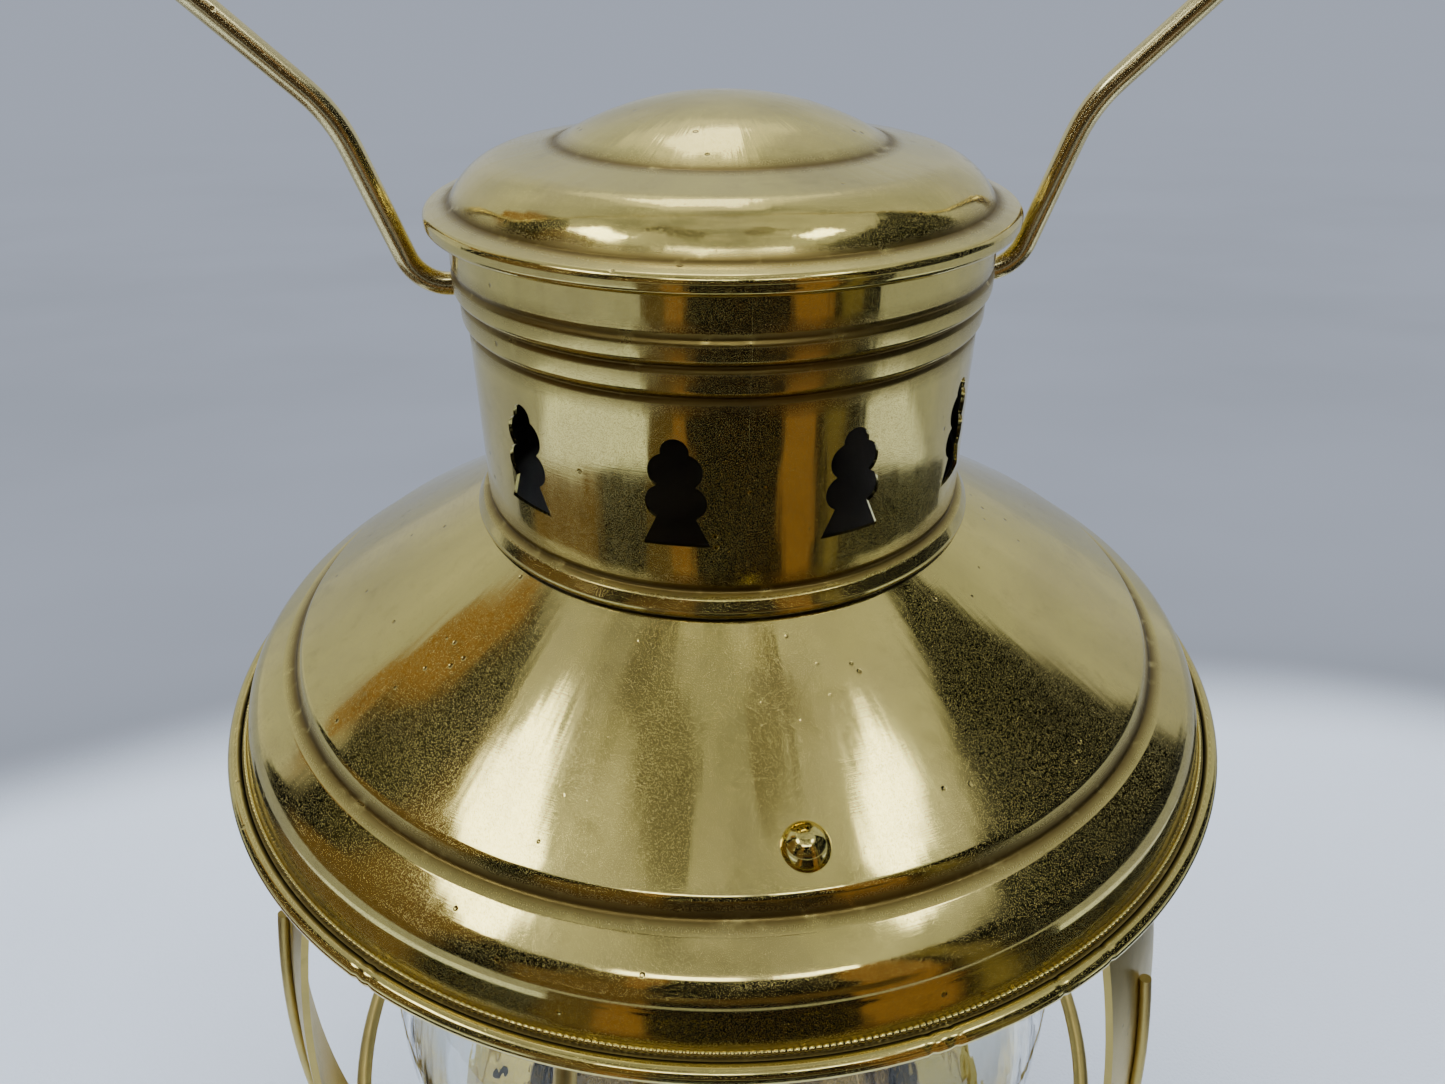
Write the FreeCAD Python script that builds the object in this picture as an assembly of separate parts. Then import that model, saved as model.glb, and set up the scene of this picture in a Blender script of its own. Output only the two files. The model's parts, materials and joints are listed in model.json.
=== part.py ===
import FreeCAD, Part
import math
import os
from FreeCAD import Vector

# Ship lantern with a lift-off hood, a strap-and-wire guard, a glass globe and an oil lamp that
# drops out of the base. Millimetres. The origin is on the floor on the lantern's axis, +Z is up,
# the front is -Y and the handle swings about X. Azimuth 0 is the front, positive towards +X.

# Driving dimensions
RIM_HEIGHT = 216.0        # hood rim plane above the floor
RIM_RADIUS = 108.4        # centre of the wired edge of the hood
CURL_RADIUS = 1.65
RIM_WIRE_RADIUS = 1.0
SHEET = 0.8
THIN_SHEET = 0.7
CONE_EDGE = (92.0, 18.9)  # radius, height above the rim plane
CONE_TOP = (51.6, 42.11)
CHIMNEY_RADIUS = 49.5
CAP_SEAT = 101.0
CROWN_RADIUS = 63.3
CROWN_HEIGHT = 121.8
CROWN_SLOPE = 13.9        # degrees, at the crown's edge
PIVOT_HEIGHT = 88.3
BAIL_RADIUS = 2.2
BAIL_HEAD = (3.2, 1.6)    # radius and thickness of the handle's upset ends
PIVOT_CLEARANCE = 0.08
CUTTER_REACH = CHIMNEY_RADIUS + 10.0
VENT_COUNT = 10
VENT_FOOT = 56.1          # above the rim plane
VENT_HEIGHT = 20.1
VENT_WIDTH = 11.8
HOOD_TURN = 3.85          # azimuth of the front rivet; the vents straddle it
RIVET_AZIMUTHS = (HOOD_TURN, HOOD_TURN + 180.0)
RIVET_RADIUS = 85.8       # distance of the rivets from the axis
RIVET_SHANK = 1.8
RIVET_HEAD = (4.1, 3.3)   # radius and height
RIVET_TAIL = (3.0, 1.0)   # radius and thickness
TONGUE_WIDTH = 14.0
TONGUE_THICKNESS = 1.0
TONGUE_RADIUS = 92.0      # outer face of the upright part
TONGUE_EAR = (10.0, 11.0) # heights above the rim plane
RIVET_GRIP = SHEET + TONGUE_THICKNESS + 0.1
BAFFLE_HEIGHT = 79.0
STUD_RADIUS = 2.5
FLUE_SHEET = 0.6
FLUE_THROAT = 48.2
TOP_SEAL = (58.5, 64.9, 203.9, 205.4)

GUARD_BOW = 284.0         # radius of the bowed straps' outer faces
GUARD_BOW_CENTRE = -171.0
GUARD_MIDDLE = 117.0      # height of the widest point
STRAP_AZIMUTHS = (-70.0, 50.0, 170.0)
WIRE_AZIMUTHS = (-20.0, 100.0, 220.0)
STRAP_WIDTH = 30.0
STRAP_THICKNESS = 1.5
ROD_RADIUS = 1.2
ROD_REACH = (-83.0, 57.0) # ends of the straps' rods, from the widest point
ARROW_HALF_WIDTH = 7.0
ARROW_HEIGHTS = (-3.0, -0.5, 11.0)  # barbs, notch and tip, from the head of the rod
ARROW_FLOOR = 0.9         # what is left of the strap's bow radius under the recess
GUARD_WIRE = 2.0
WIRE_BOW = GUARD_BOW + 0.45
GUARD_RING_HEIGHT = 78.5
BAND_RADIUS = 93.8        # outer face of the top ring and of the base wall
TAB_ENDS = (10.0, 224.0)
TAB_REACH = 98.6          # the bow meets the upright tabs this far above and below its middle
RIVET_ROWS = (14.0, 220.0)
STRAP_RIVET = (1.2, 2.6)  # radii of the shank and of the ball that the head is part of
STRAP_RIVET_SPACING = 16.0
TOP_RING_FLANGE = 98.0
TOP_RING_SPAN = (-4.0, 10.0)  # from the rim plane

DECK_HEIGHT = 27.0
FOOT_RADIUS = 98.6
FOOT_CURL = 2.2
FOOT_HEIGHT = 2.0         # less than the curl's radius, so that the foot stands on a flat
FOOT_WIRE_RADIUS = 1.5
LAMP_OPENING = 57.0
AIR_HOLES = (24, 79.0, 2.2)   # number, distance from the axis and radius
GALLERY = (57.8, 65.2, 66.4)  # radii of the channel's inner edge, wall and outer face
GALLERY_WALL = 10.0
SEAT_HEIGHT = 1.5
CLIP_HALF_ANGLE = 6.5
CLIP_FOOT = 14.0
CLIP_THICKNESS = 1.0
CLIP_REACH = 10.0
GLOBE_RADIUS = 90.7
GLOBE_NECK = 61.5
GLOBE_ENDS = (30.5, 203.5)
GLOBE_NECK_HEIGHT = 6.5
GLASS = 2.2

TANK_RADIUS = 52.0
FLANGE_RADIUS = 62.0
FLANGE_SPAN = (19.8, 21.0)
RUNNING_CLEARANCE = 0.05
TANK_NECK = 57.0
COLLAR = (11.6, 17.0)
BURNER_FOOT = 60.5
BURNER_TOP = 76.0
BURNER_RADIUS = 22.0
BURNER_WALL = 1.0
SPIGOT = (9.8, 11.5, 54.0)    # bore, outer radius and foot of the threaded spigot
DRUM_FLOOR = 62.0
DRUM_HOLES = (20, 1.5, 65.0)  # number, radius and height
DECK_PLATE = (74.6, 75.4)
DEFLECTOR_SHEET = 0.5
HOLDER_PRONGS = 8
WICK = (16.4, 3.2, 20.0, 89.0)        # width, depth, foot and top
WICK_TUBE = (18.0, 5.0, 56.0, 88.0)
WICK_TUBE_BORE = (17.0, 3.8, 56.0, 88.0)
FLAME_SLOT = (22.0, 5.6, 80.0, 100.0)
SPINDLE_RADIUS = 1.4
SPINDLE_HEIGHT = 68.0
SPINDLE_OFFSET = -5.5
SPINDLE_ENDS = (-12.0, 46.0)
SLEEVE = (2.4, 41.0)          # radius and end
SPUR_WHEELS = (-6.0, -0.6, 4.8)
SPUR_WHEEL = (2.6, 1.2)       # radius and thickness
KNOB_PLACE = 43.0
KNOB = (8.5, 3.2)
KNOB_BOSS = (3.4, 5.0)
KNOB_GROOVES = 28
KNOB_BORE = 3.0
FILLER_PLACE = (0.0, 34.0)
FILLER_RADIUS = 7.0
FILLER_SPAN = (42.0, 12.0)    # foot and length of the tube
FILLER_WALL = 1.4
CAP_FOOT = 49.5
FILLER_CAP = (9.0, 6.8)
FILLER_CAP_BORE = 5.3
FILLER_CAP_ROUND = 0.8
FILLER_CAP_GROOVES = (24, 5.0)
FILLER_WASHER = (6.8, 0.8, 54.0)
GROOVE_RADIUS = 0.6
GROOVE_OFFSET = 0.25
LAMP_GLASS = 1.5

# Outlines: radius, height and corner radius. The hood's are above the rim plane.
HOOD_OUTLINE = [(107.2, 1.0, 0), (105.2, 1.3, 1.2), (103.7, 10.8, 9.0), (96.2, 15.2, 1.6),
                (93.6, 15.9, 1.2), (*CONE_EDGE, 2.6), (*CONE_TOP, 0)]
CHIMNEY_OUTLINE = [(51.1, 40.9, 0), (51.1, 42.3, 0.3), (52.5, 43.7, 1.3), (50.9, 46.2, 0.9),
                   (49.2, 46.9, 0.6), (CHIMNEY_RADIUS, 48.4, 1.2), (CHIMNEY_RADIUS, 82.3, 1.0),
                   (49.0, 83.2, 0.4), (50.5, 84.3, 1.2), (50.5, 87.8, 1.2), (49.9, 88.8, 0.4),
                   (51.5, 89.8, 1.2), (51.5, 92.7, 1.2), (50.9, 93.5, 0.4), (51.3, 94.6, 1.2),
                   (51.2, CAP_SEAT, 0)]
CAP_OUTLINE = [(50.4, CAP_SEAT, 0), (55.0, CAP_SEAT, 1.3), (55.0, 104.1, 1.4), (50.3, 105.1, 0.8),
               (46.0, 111.4, 14.0), (30.6, 114.0, 2.0),
               (CROWN_RADIUS * math.tan(math.radians(CROWN_SLOPE)), CROWN_HEIGHT, CROWN_RADIUS),
               (0, CROWN_HEIGHT, 0)]
BAFFLE_OUTLINE = [(34.0, 72.0, 0), (36.0, 73.2, 1.0), (4.0, BAFFLE_HEIGHT, 3.0),
                  (0, BAFFLE_HEIGHT, 0)]
FLUE_OUTLINE = [(66.5, 201.5, 0), (66.5, 206.0, 1.5), (60.0, 206.0, 2.0), (FLUE_THROAT, 258.0, 8.0),
                (FLUE_THROAT, 266.0, 1.0), (48.75, 268.0, 1.0), (48.75, 271.0, 0)]
BAIL_OUTLINE = [(44.5, 0, 0), (58.3, 0, 8.0), (68.5, 30.3, 24.0), (121.0, 80.3, 70.0),
                (121.0, 168.0, 70.0), (15.0, 206.5, 12.0), (0, 222.0, 8.0)]
PAN_OUTLINE = [(97.2, 3.2, 0), (BAND_RADIUS, 7.2, 3.0), (BAND_RADIUS, DECK_HEIGHT, 5.0),
               (LAMP_OPENING, DECK_HEIGHT, 2.0), (LAMP_OPENING, 21.0, 0)]
TANK_OUTLINE = [(0, 7.0, 0), (41.0, 7.0, 1.5), (44.0, 4.5, 1.5), (TANK_RADIUS, 4.5, 4.0),
                (TANK_RADIUS, 38.0, 10.0), (14.0, 52.0, 3.0), (14.0, TANK_NECK, 0)]
DEFLECTOR_OUTLINE = [(20.6, DECK_PLATE[1], 0), (20.6, 79.0, 3.0), (12.0, 92.0, 8.0), (0, 92.0, 0)]
HOLDER_OUTLINE = [(BURNER_RADIUS, 71.0), (BURNER_RADIUS + 0.8, 71.0), (BURNER_RADIUS + 0.8, 75.2),
                  (26.6, 75.2), (26.6, 88.0), (26.0, 88.0), (26.0, BURNER_TOP),
                  (BURNER_RADIUS, BURNER_TOP)]
PRONG_SLOT = ((-4.6, -35.0, 77.2), (4.6, -24.0, 90.0))
LAMP_GLASS_OUTLINE = [(25.5, 76.0, 0), (25.5, 92.0, 12.0), (29.0, 106.0, 22.0), (17.5, 148.0, 60.0),
                      (17.5, 230.0, 0)]
# Half of a vent, from its foot to its head: fractions of the half width, and heights
VENT_OUTLINE = [(1.0, 0), (0.585, 5.3), (0.90, 8.6), (0.565, 11.4), (0.79, 14.5), (0.41, 17.3)]

ORIGIN = Vector(0, 0, 0)
UP = Vector(0, 0, 1)
SHORTEST_EDGE = 1e-6

os.makedirs("parts", exist_ok=True)


def save(name, shape):
    """Write one node and report its volume."""
    print(name, len(shape.Solids), round(shape.Volume, 1), shape.isValid())
    shape.exportStep("parts/" + name + ".step")


# Outlines. A point is (radius, height, corner radius) in the XZ plane.

def place(point):
    return Vector(point[0], 0, point[1])


def add_line(edges, start, end):
    if start.distanceToPoint(end) > SHORTEST_EDGE:
        edges.append(Part.LineSegment(start, end).toShape())


def rounded_edges(points):
    """Straight runs through the points, joined by tangent arcs at the corners."""
    edges = []
    start = place(points[0])
    for before, here, after in zip(points, points[1:], points[2:]):
        into = (place(here) - place(before)).normalize()
        out = (place(after) - place(here)).normalize()
        turn = into.getAngle(out)
        if here[2] == 0:
            add_line(edges, start, place(here))
            start = place(here)
            continue
        reach = here[2] * math.tan(turn / 2)
        arc_start = place(here) - into * reach
        arc_end = place(here) + out * reach
        inward = (out - into).normalize()
        middle = place(here) + inward * (here[2] / math.cos(turn / 2) - here[2])
        add_line(edges, start, arc_start)
        edges.append(Part.Arc(arc_start, middle, arc_end).toShape())
        start = arc_end
    add_line(edges, start, place(points[-1]))
    return edges


def left_normal(start, end):
    run = (place(end) - place(start)).normalize()
    return Vector(-run.z, 0, run.x)


def shifted(points, distance):
    """The outline moved sideways, to the left of its direction."""
    result = []
    last = len(points) - 1
    for index, point in enumerate(points):
        before = left_normal(points[max(index - 1, 0)], points[max(index, 1)])
        after = left_normal(points[min(index, last - 1)], points[min(index + 1, last)])
        move = (before + after) * (distance / (1 + before.dot(after)))
        turning_left = before.cross(after).y < 0
        radius = point[2]
        if radius > 0:
            radius = max(radius - distance if turning_left else radius + distance, 0)
        result.append((point[0] + move.x, point[1] + move.z, radius))
    return result


def face_between(outer, inner):
    """Face between two open runs of edges that share neither end."""
    edges = list(outer) + list(inner)
    ends = []
    for run in (outer, inner):
        wire = Part.Wire(run)
        ordered = wire.OrderedVertexes
        ends.append((ordered[0].Point, ordered[-1].Point))
    add_line(edges, ends[0][0], ends[1][0])
    add_line(edges, ends[0][1], ends[1][1])
    return Part.Face(Part.Wire(Part.__sortEdges__(edges)))


def sheet_face(points, thickness):
    """Section of a bent sheet whose outer skin follows the points."""
    return face_between(rounded_edges(points), rounded_edges(shifted(points, thickness)))


def polygon_face(points):
    corners = [place(point) for point in points]
    return Part.Face(Part.makePolygon(corners + corners[:1]))


def raised(points, height):
    return [(radius, z + height, corner) for radius, z, corner in points]


def revolved(face, degrees=360.0):
    return face.revolve(ORIGIN, UP, degrees)


def spun(points, thickness):
    return revolved(sheet_face(points, thickness))


def ring(inner, outer, low, high):
    """Plain ring of rectangular section."""
    return revolved(polygon_face([(inner, low), (outer, low), (outer, high), (inner, high)]))


def torus(radius, minor, height):
    return Part.makeTorus(radius, minor, Vector(0, 0, height))


def turned(shape, azimuth):
    """Turn a shape made at the front to its azimuth."""
    return shape.rotated(ORIGIN, UP, azimuth)


def from_side(shape, azimuth):
    """Turn a shape made in the +X half of the XZ plane to its azimuth."""
    return shape.rotated(ORIGIN, UP, azimuth - 90.0)


def block(low, high):
    size = Vector(*high) - Vector(*low)
    return Part.makeBox(size.x, size.y, size.z, Vector(*low))


def curled_edge(radius, height, outer, inner):
    """Sheet rolled round a wire."""
    return torus(radius, outer, height).cut(torus(radius, inner, height))


# Hood

def cone_height(radius):
    """Height of the cone's outer face above the rim plane."""
    slope = (CONE_TOP[1] - CONE_EDGE[1]) / (CONE_EDGE[0] - CONE_TOP[0])
    return CONE_EDGE[1] + (CONE_EDGE[0] - radius) * slope


def cone_tilt():
    slope = (CONE_TOP[1] - CONE_EDGE[1]) / (CONE_EDGE[0] - CONE_TOP[0])
    return math.degrees(math.atan(slope))


def on_cone(shape, azimuth):
    """Stand a shape made along +Z on the cone at the rivet's place."""
    tilted = shape.rotated(ORIGIN, Vector(1, 0, 0), cone_tilt())
    seat = Vector(0, -RIVET_RADIUS, RIM_HEIGHT + cone_height(RIVET_RADIUS))
    return turned(tilted.translated(seat), azimuth)


def rivet_shank(azimuth):
    shank = Part.makeCylinder(RIVET_SHANK, RIVET_GRIP + 1.0, Vector(0, 0, -RIVET_GRIP))
    return on_cone(shank, azimuth)


def hood_rivet(azimuth):
    """Round-headed rivet with a clenched tail inside the hood."""
    radius, height = RIVET_HEAD
    ball = (radius ** 2 + height ** 2) / (2 * height)
    head = Part.makeSphere(ball, Vector(0, 0, height - ball))
    head = head.common(Part.makeCylinder(radius, height))
    tail_radius, tail_height = RIVET_TAIL
    tail = Part.makeCylinder(tail_radius, tail_height, Vector(0, 0, -RIVET_GRIP - tail_height))
    return on_cone(head.fuse(tail), azimuth).fuse(rivet_shank(azimuth)).removeSplitter()


def hood_shell():
    """Spun hood: curled rim, rounded skirt, stepped ledge and cone."""
    curl = curled_edge(RIM_RADIUS, RIM_HEIGHT, CURL_RADIUS, RIM_WIRE_RADIUS)
    shell = spun(raised(HOOD_OUTLINE, RIM_HEIGHT), SHEET).fuse(curl).removeSplitter()
    for azimuth in RIVET_AZIMUTHS:
        shell = shell.cut(rivet_shank(azimuth))
    return shell


def vent_cutter():
    """Pawn-shaped opening with a straight skirt, two lobes and a round head."""
    half = VENT_WIDTH / 2
    right = [Vector(half * share, 0, z) for share, z in VENT_OUTLINE]
    left = [Vector(-half * share, 0, z) for share, z in VENT_OUTLINE]
    edges = [Part.LineSegment(left[0], right[0]).toShape()]
    for points in (right, left):
        edges.append(Part.LineSegment(points[0], points[1]).toShape())
        edges.append(Part.Arc(points[1], points[2], points[3]).toShape())
        edges.append(Part.Arc(points[3], points[4], points[5]).toShape())
    edges.append(Part.Arc(right[5], Vector(0, 0, VENT_HEIGHT), left[5]).toShape())
    face = Part.Face(Part.Wire(Part.__sortEdges__(edges)))
    cutter = face.extrude(Vector(0, -CUTTER_REACH, 0))
    return cutter.translated(Vector(0, 0, RIM_HEIGHT + VENT_FOOT))


def pivot_hole():
    start = Vector(-CUTTER_REACH, 0, RIM_HEIGHT + PIVOT_HEIGHT)
    return Part.makeCylinder(BAIL_RADIUS + PIVOT_CLEARANCE, 2 * CUTTER_REACH, start, Vector(1, 0, 0))


def chimney_wall():
    """Vented wall with a beaded foot and three rolled bands below the cap."""
    body = spun(raised(CHIMNEY_OUTLINE, RIM_HEIGHT), THIN_SHEET)
    cutter = vent_cutter()
    step = 360.0 / VENT_COUNT
    for number in range(VENT_COUNT):
        body = body.cut(turned(cutter, HOOD_TURN + step * (number + 0.5)))
    return body.cut(pivot_hole())


def cap():
    """Domed cap with a rolled lip and a raised crown."""
    return spun(raised(CAP_OUTLINE, RIM_HEIGHT), SHEET)


def draught_baffle():
    """Shallow cone that keeps rain and wind off the lamp glass."""
    return spun(raised(BAFFLE_OUTLINE, RIM_HEIGHT), SHEET)


def baffle_stud():
    """Post that hangs the baffle under the cap's crown."""
    length = CROWN_HEIGHT - SHEET - BAFFLE_HEIGHT
    return Part.makeCylinder(STUD_RADIUS, length, Vector(0, 0, RIM_HEIGHT + BAFFLE_HEIGHT))


def inner_flue():
    """Cone that leads the warm air from the globe's mouth into the chimney."""
    return spun(FLUE_OUTLINE, FLUE_SHEET)


def hood_tongue(azimuth):
    """Bent strip riveted inside the cone; its ear sits on the top ring."""
    under = SHEET / math.cos(math.radians(cone_tilt()))
    foot, bend, shoulder, end = -6.0, 12.0, 89.4, 78.0
    profile = [(TONGUE_RADIUS, foot, 0), (TONGUE_RADIUS, bend, 3.0),
               (shoulder, cone_height(shoulder) - under, 1.5), (end, cone_height(end) - under, 0)]
    degrees = math.degrees(TONGUE_WIDTH / TONGUE_RADIUS)
    strip = revolved(sheet_face(raised(profile, RIM_HEIGHT), TONGUE_THICKNESS), degrees)
    low, high = [RIM_HEIGHT + z for z in TONGUE_EAR]
    inner, outer = TONGUE_RADIUS - 0.5, TONGUE_RADIUS + 2.2
    ear = revolved(polygon_face([(inner, low), (outer, low), (outer, high), (inner, high)]), degrees)
    tongue = from_side(strip.fuse(ear).removeSplitter(), azimuth - degrees / 2)
    return tongue.cut(rivet_shank(azimuth))


# Handle

def bail():
    """Round wire handle: pivots, an outward sweep, a wide loop and a hanging crook."""
    other = [(-radius, z, corner) for radius, z, corner in reversed(BAIL_OUTLINE[:-1])]
    path = Part.Wire(rounded_edges(raised(BAIL_OUTLINE + other, RIM_HEIGHT + PIVOT_HEIGHT)))
    start = Vector(BAIL_OUTLINE[0][0], 0, RIM_HEIGHT + PIVOT_HEIGHT)
    section = Part.Wire(Part.Circle(start, Vector(1, 0, 0), BAIL_RADIUS).toShape())
    wire = path.makePipeShell([section], True, False)
    for side in (-1, 1):
        head_start = Vector(side * start.x, 0, start.z)
        wire = wire.fuse(Part.makeCylinder(*BAIL_HEAD, head_start, Vector(side, 0, 0)))
    return wire.removeSplitter()


# Guard

def bow(radius, height):
    """Distance from the axis of a bowed line of the given bow radius."""
    return GUARD_BOW_CENTRE + math.sqrt(radius ** 2 - (height - GUARD_MIDDLE) ** 2)


def bow_edges(bow_radius, straight_radius, low, high, ends):
    """A bowed arc between low and high with upright tabs at both ends."""
    points = [Vector(bow(bow_radius, z), 0, z) for z in (low, GUARD_MIDDLE, high)]
    edges = [Part.Arc(*points).toShape()]
    for point, end in ((points[0], ends[0]), (points[2], ends[1])):
        corner = Vector(straight_radius, 0, point.z)
        add_line(edges, point, corner)
        add_line(edges, corner, Vector(straight_radius, 0, end))
    return Part.__sortEdges__(edges)


def strap(azimuth):
    """Wide bowed strap with upright tabs at its ends."""
    low = GUARD_MIDDLE - TAB_REACH
    high = GUARD_MIDDLE + TAB_REACH
    tab_radius = bow(GUARD_BOW, high)
    outer = bow_edges(GUARD_BOW, tab_radius, low, high, TAB_ENDS)
    inner = bow_edges(GUARD_BOW - STRAP_THICKNESS, tab_radius - STRAP_THICKNESS, low, high, TAB_ENDS)
    degrees = 24.0
    band = revolved(face_between(outer, inner), degrees).rotated(ORIGIN, UP, -degrees / 2)
    half = STRAP_WIDTH / 2
    band = band.common(block((0, -half, 0), (2 * BAND_RADIUS, half, 2 * RIM_HEIGHT)))
    return from_side(band, azimuth)


def strap_rod(azimuth):
    """Thin stiffening rod soldered along the middle of a strap."""
    bow_radius = GUARD_BOW + ROD_RADIUS
    low, high = [GUARD_MIDDLE + reach for reach in ROD_REACH]
    return from_side(wire_arc(ROD_RADIUS, bow_radius, low, high), azimuth)


def left_strap():
    """The strap with an arrow-shaped catch recess at the head of its rod."""
    barb, notch, tip = [GUARD_MIDDLE + ROD_REACH[1] + reach for reach in ARROW_HEIGHTS]
    corners = [Vector(0, -ARROW_HALF_WIDTH, barb), Vector(0, 0, notch),
               Vector(0, ARROW_HALF_WIDTH, barb), Vector(0, 0, tip)]
    face = Part.Face(Part.makePolygon(corners + corners[:1]))
    arrow = face.extrude(Vector(2 * BAND_RADIUS, 0, 0))
    start = Vector(GUARD_BOW_CENTRE, -STRAP_WIDTH, GUARD_MIDDLE)
    core = Part.makeCylinder(GUARD_BOW - ARROW_FLOOR, 2 * STRAP_WIDTH, start, Vector(0, 1, 0))
    cutter = from_side(arrow.cut(core), STRAP_AZIMUTHS[0])
    return strap(STRAP_AZIMUTHS[0]).cut(cutter)


def wire_arc(minor, bow_radius, low, high):
    centre = Vector(GUARD_BOW_CENTRE, 0, GUARD_MIDDLE)
    start = Vector(GUARD_BOW_CENTRE + bow_radius, 0, GUARD_MIDDLE)
    disc = Part.Face(Part.Wire(Part.Circle(start, Vector(0, 0, 1), minor).toShape()))
    below = math.degrees(math.asin((GUARD_MIDDLE - low) / bow_radius))
    above = math.degrees(math.asin((high - GUARD_MIDDLE) / bow_radius))
    disc.rotate(centre, Vector(0, 1, 0), below)
    return disc.revolve(centre, Vector(0, -1, 0), below + above)


def guard_wire(azimuth):
    """Upright guard wire, bowed like the straps, outside the guard ring."""
    seat = BAND_RADIUS + GUARD_WIRE
    reach = math.sqrt(WIRE_BOW ** 2 - (seat - GUARD_BOW_CENTRE) ** 2)
    low = GUARD_MIDDLE - reach
    high = GUARD_MIDDLE + reach
    shape = wire_arc(GUARD_WIRE, WIRE_BOW, low, high)
    for start, end in ((low, TAB_ENDS[0]), (high, TAB_ENDS[1])):
        direction = Vector(0, 0, end - start)
        straight = Part.makeCylinder(GUARD_WIRE, direction.Length, Vector(seat, 0, start), direction)
        shape = shape.fuse([straight, Part.makeSphere(GUARD_WIRE, Vector(seat, 0, start))])
    return from_side(shape.removeSplitter(), azimuth)


def guard_ring():
    radius = bow(GUARD_BOW - STRAP_THICKNESS, GUARD_RING_HEIGHT) - GUARD_WIRE
    return torus(radius, GUARD_WIRE, GUARD_RING_HEIGHT)


def strap_rivets(height):
    """Small rivets that hold the strap ends to a band, two to a strap."""
    shank_radius, ball = STRAP_RIVET
    seat = bow(GUARD_BOW, GUARD_MIDDLE + TAB_REACH)
    depth = 2.0
    start = Vector(0, depth - BAND_RADIUS, height)
    shank = Part.makeCylinder(shank_radius, seat - BAND_RADIUS + depth, start, Vector(0, -1, 0))
    dome = Part.makeSphere(ball, Vector(0, ball / 2 - seat, height))
    dome = dome.common(block((-ball, -seat - ball, height - ball), (ball, -seat, height + ball)))
    rivet = shank.fuse(dome).removeSplitter()
    swing = math.degrees(STRAP_RIVET_SPACING / 2 / BAND_RADIUS)
    return [turned(rivet, azimuth + side * swing) for azimuth in STRAP_AZIMUTHS for side in (-1, 1)]


def drilled(shape, heights):
    """Take the rivets' shanks out of a band or strap."""
    for height in heights:
        for rivet in strap_rivets(height):
            shape = shape.cut(rivet)
    return shape


def top_ring():
    """Flanged ring inside the hood's rim that carries the guard's upper ends."""
    low, high = [RIM_HEIGHT + z for z in TOP_RING_SPAN]
    under = high - 1.0
    inner = BAND_RADIUS - 1.5
    return revolved(polygon_face([(inner, low), (BAND_RADIUS, low), (BAND_RADIUS, under),
                                  (TOP_RING_FLANGE, under), (TOP_RING_FLANGE, high), (inner, high)]))


# Base

def base_pan():
    """Deck, wall and flared, wire-edged foot, with a ring of air holes in the deck."""
    curl = curled_edge(FOOT_RADIUS, FOOT_HEIGHT, FOOT_CURL, FOOT_WIRE_RADIUS)
    reach = 2 * FOOT_RADIUS
    below = block((-reach, -reach, -FOOT_CURL), (reach, reach, 0))
    pan = spun(PAN_OUTLINE, SHEET).fuse(curl).cut(below)
    count, distance, radius = AIR_HOLES
    hole = Part.makeCylinder(radius, 2 * radius, Vector(0, -distance, DECK_HEIGHT - radius))
    return pan.cut([turned(hole, 360.0 * (n + 0.5) / count) for n in range(count)])


def globe_gallery():
    """Channel on the deck that holds the foot of the globe."""
    inner, wall, outer = GALLERY
    low = DECK_HEIGHT
    seat = low + SEAT_HEIGHT
    top = low + GALLERY_WALL
    return revolved(polygon_face([(inner, low), (outer, low), (outer, top), (wall, top), (wall, seat),
                                  (inner, seat)]))


def globe_section(radius, neck):
    low, high = GLOBE_ENDS
    foot = Vector(neck, 0, low + GLOBE_NECK_HEIGHT)
    head = Vector(neck, 0, high - GLOBE_NECK_HEIGHT)
    belly = Vector(radius, 0, (low + high) / 2)
    return [Part.LineSegment(Vector(neck, 0, low), foot).toShape(),
            Part.Arc(foot, belly, head).toShape(),
            Part.LineSegment(head, Vector(neck, 0, high)).toShape()]


def globe_glass():
    outer = globe_section(GLOBE_RADIUS, GLOBE_NECK)
    inner = globe_section(GLOBE_RADIUS - GLASS, GLOBE_NECK - GLASS)
    return revolved(face_between(outer, inner))


def font_clips():
    """Three leaf clips under the deck that grip the lamp's flange."""
    face_radius = FLANGE_RADIUS + RUNNING_CLEARANCE
    back_radius = face_radius + CLIP_THICKNESS
    end_radius = face_radius + CLIP_REACH
    top = DECK_HEIGHT - SHEET
    under = top - CLIP_THICKNESS
    section = polygon_face([(face_radius, CLIP_FOOT), (back_radius, CLIP_FOOT), (back_radius, under),
                            (end_radius, under), (end_radius, top), (face_radius, top)])
    clip = revolved(section, 2 * CLIP_HALF_ANGLE)
    return [from_side(clip, 30.0 + 120.0 * n - CLIP_HALF_ANGLE) for n in range(3)]


# Lamp

def font_tank():
    """Oil tank with a flat foot, rounded shoulder and open neck."""
    start = Vector(*FILLER_PLACE, FILLER_SPAN[0])
    filler = Part.makeCylinder(FILLER_RADIUS, FILLER_SPAN[1], start)
    return spun(TANK_OUTLINE, SHEET).cut(filler)


def filler_tube():
    foot, length = FILLER_SPAN
    base = Vector(*FILLER_PLACE, foot)
    tube = Part.makeCylinder(FILLER_RADIUS, length, base)
    return tube.cut(Part.makeCylinder(FILLER_RADIUS - FILLER_WALL, length, base))


def knurled(shape, radius, grooves, centre, axis, depth):
    """Cut shallow grooves along the rim of a disc."""
    across = Vector(0, 0, 1) if abs(axis.z) < 0.5 else Vector(1, 0, 0)
    start = centre + across * (radius + GROOVE_OFFSET)
    groove = Part.makeCylinder(GROOVE_RADIUS, depth, start, axis)
    return shape.cut([groove.rotated(centre, axis, 360.0 * n / grooves) for n in range(grooves)])


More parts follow.
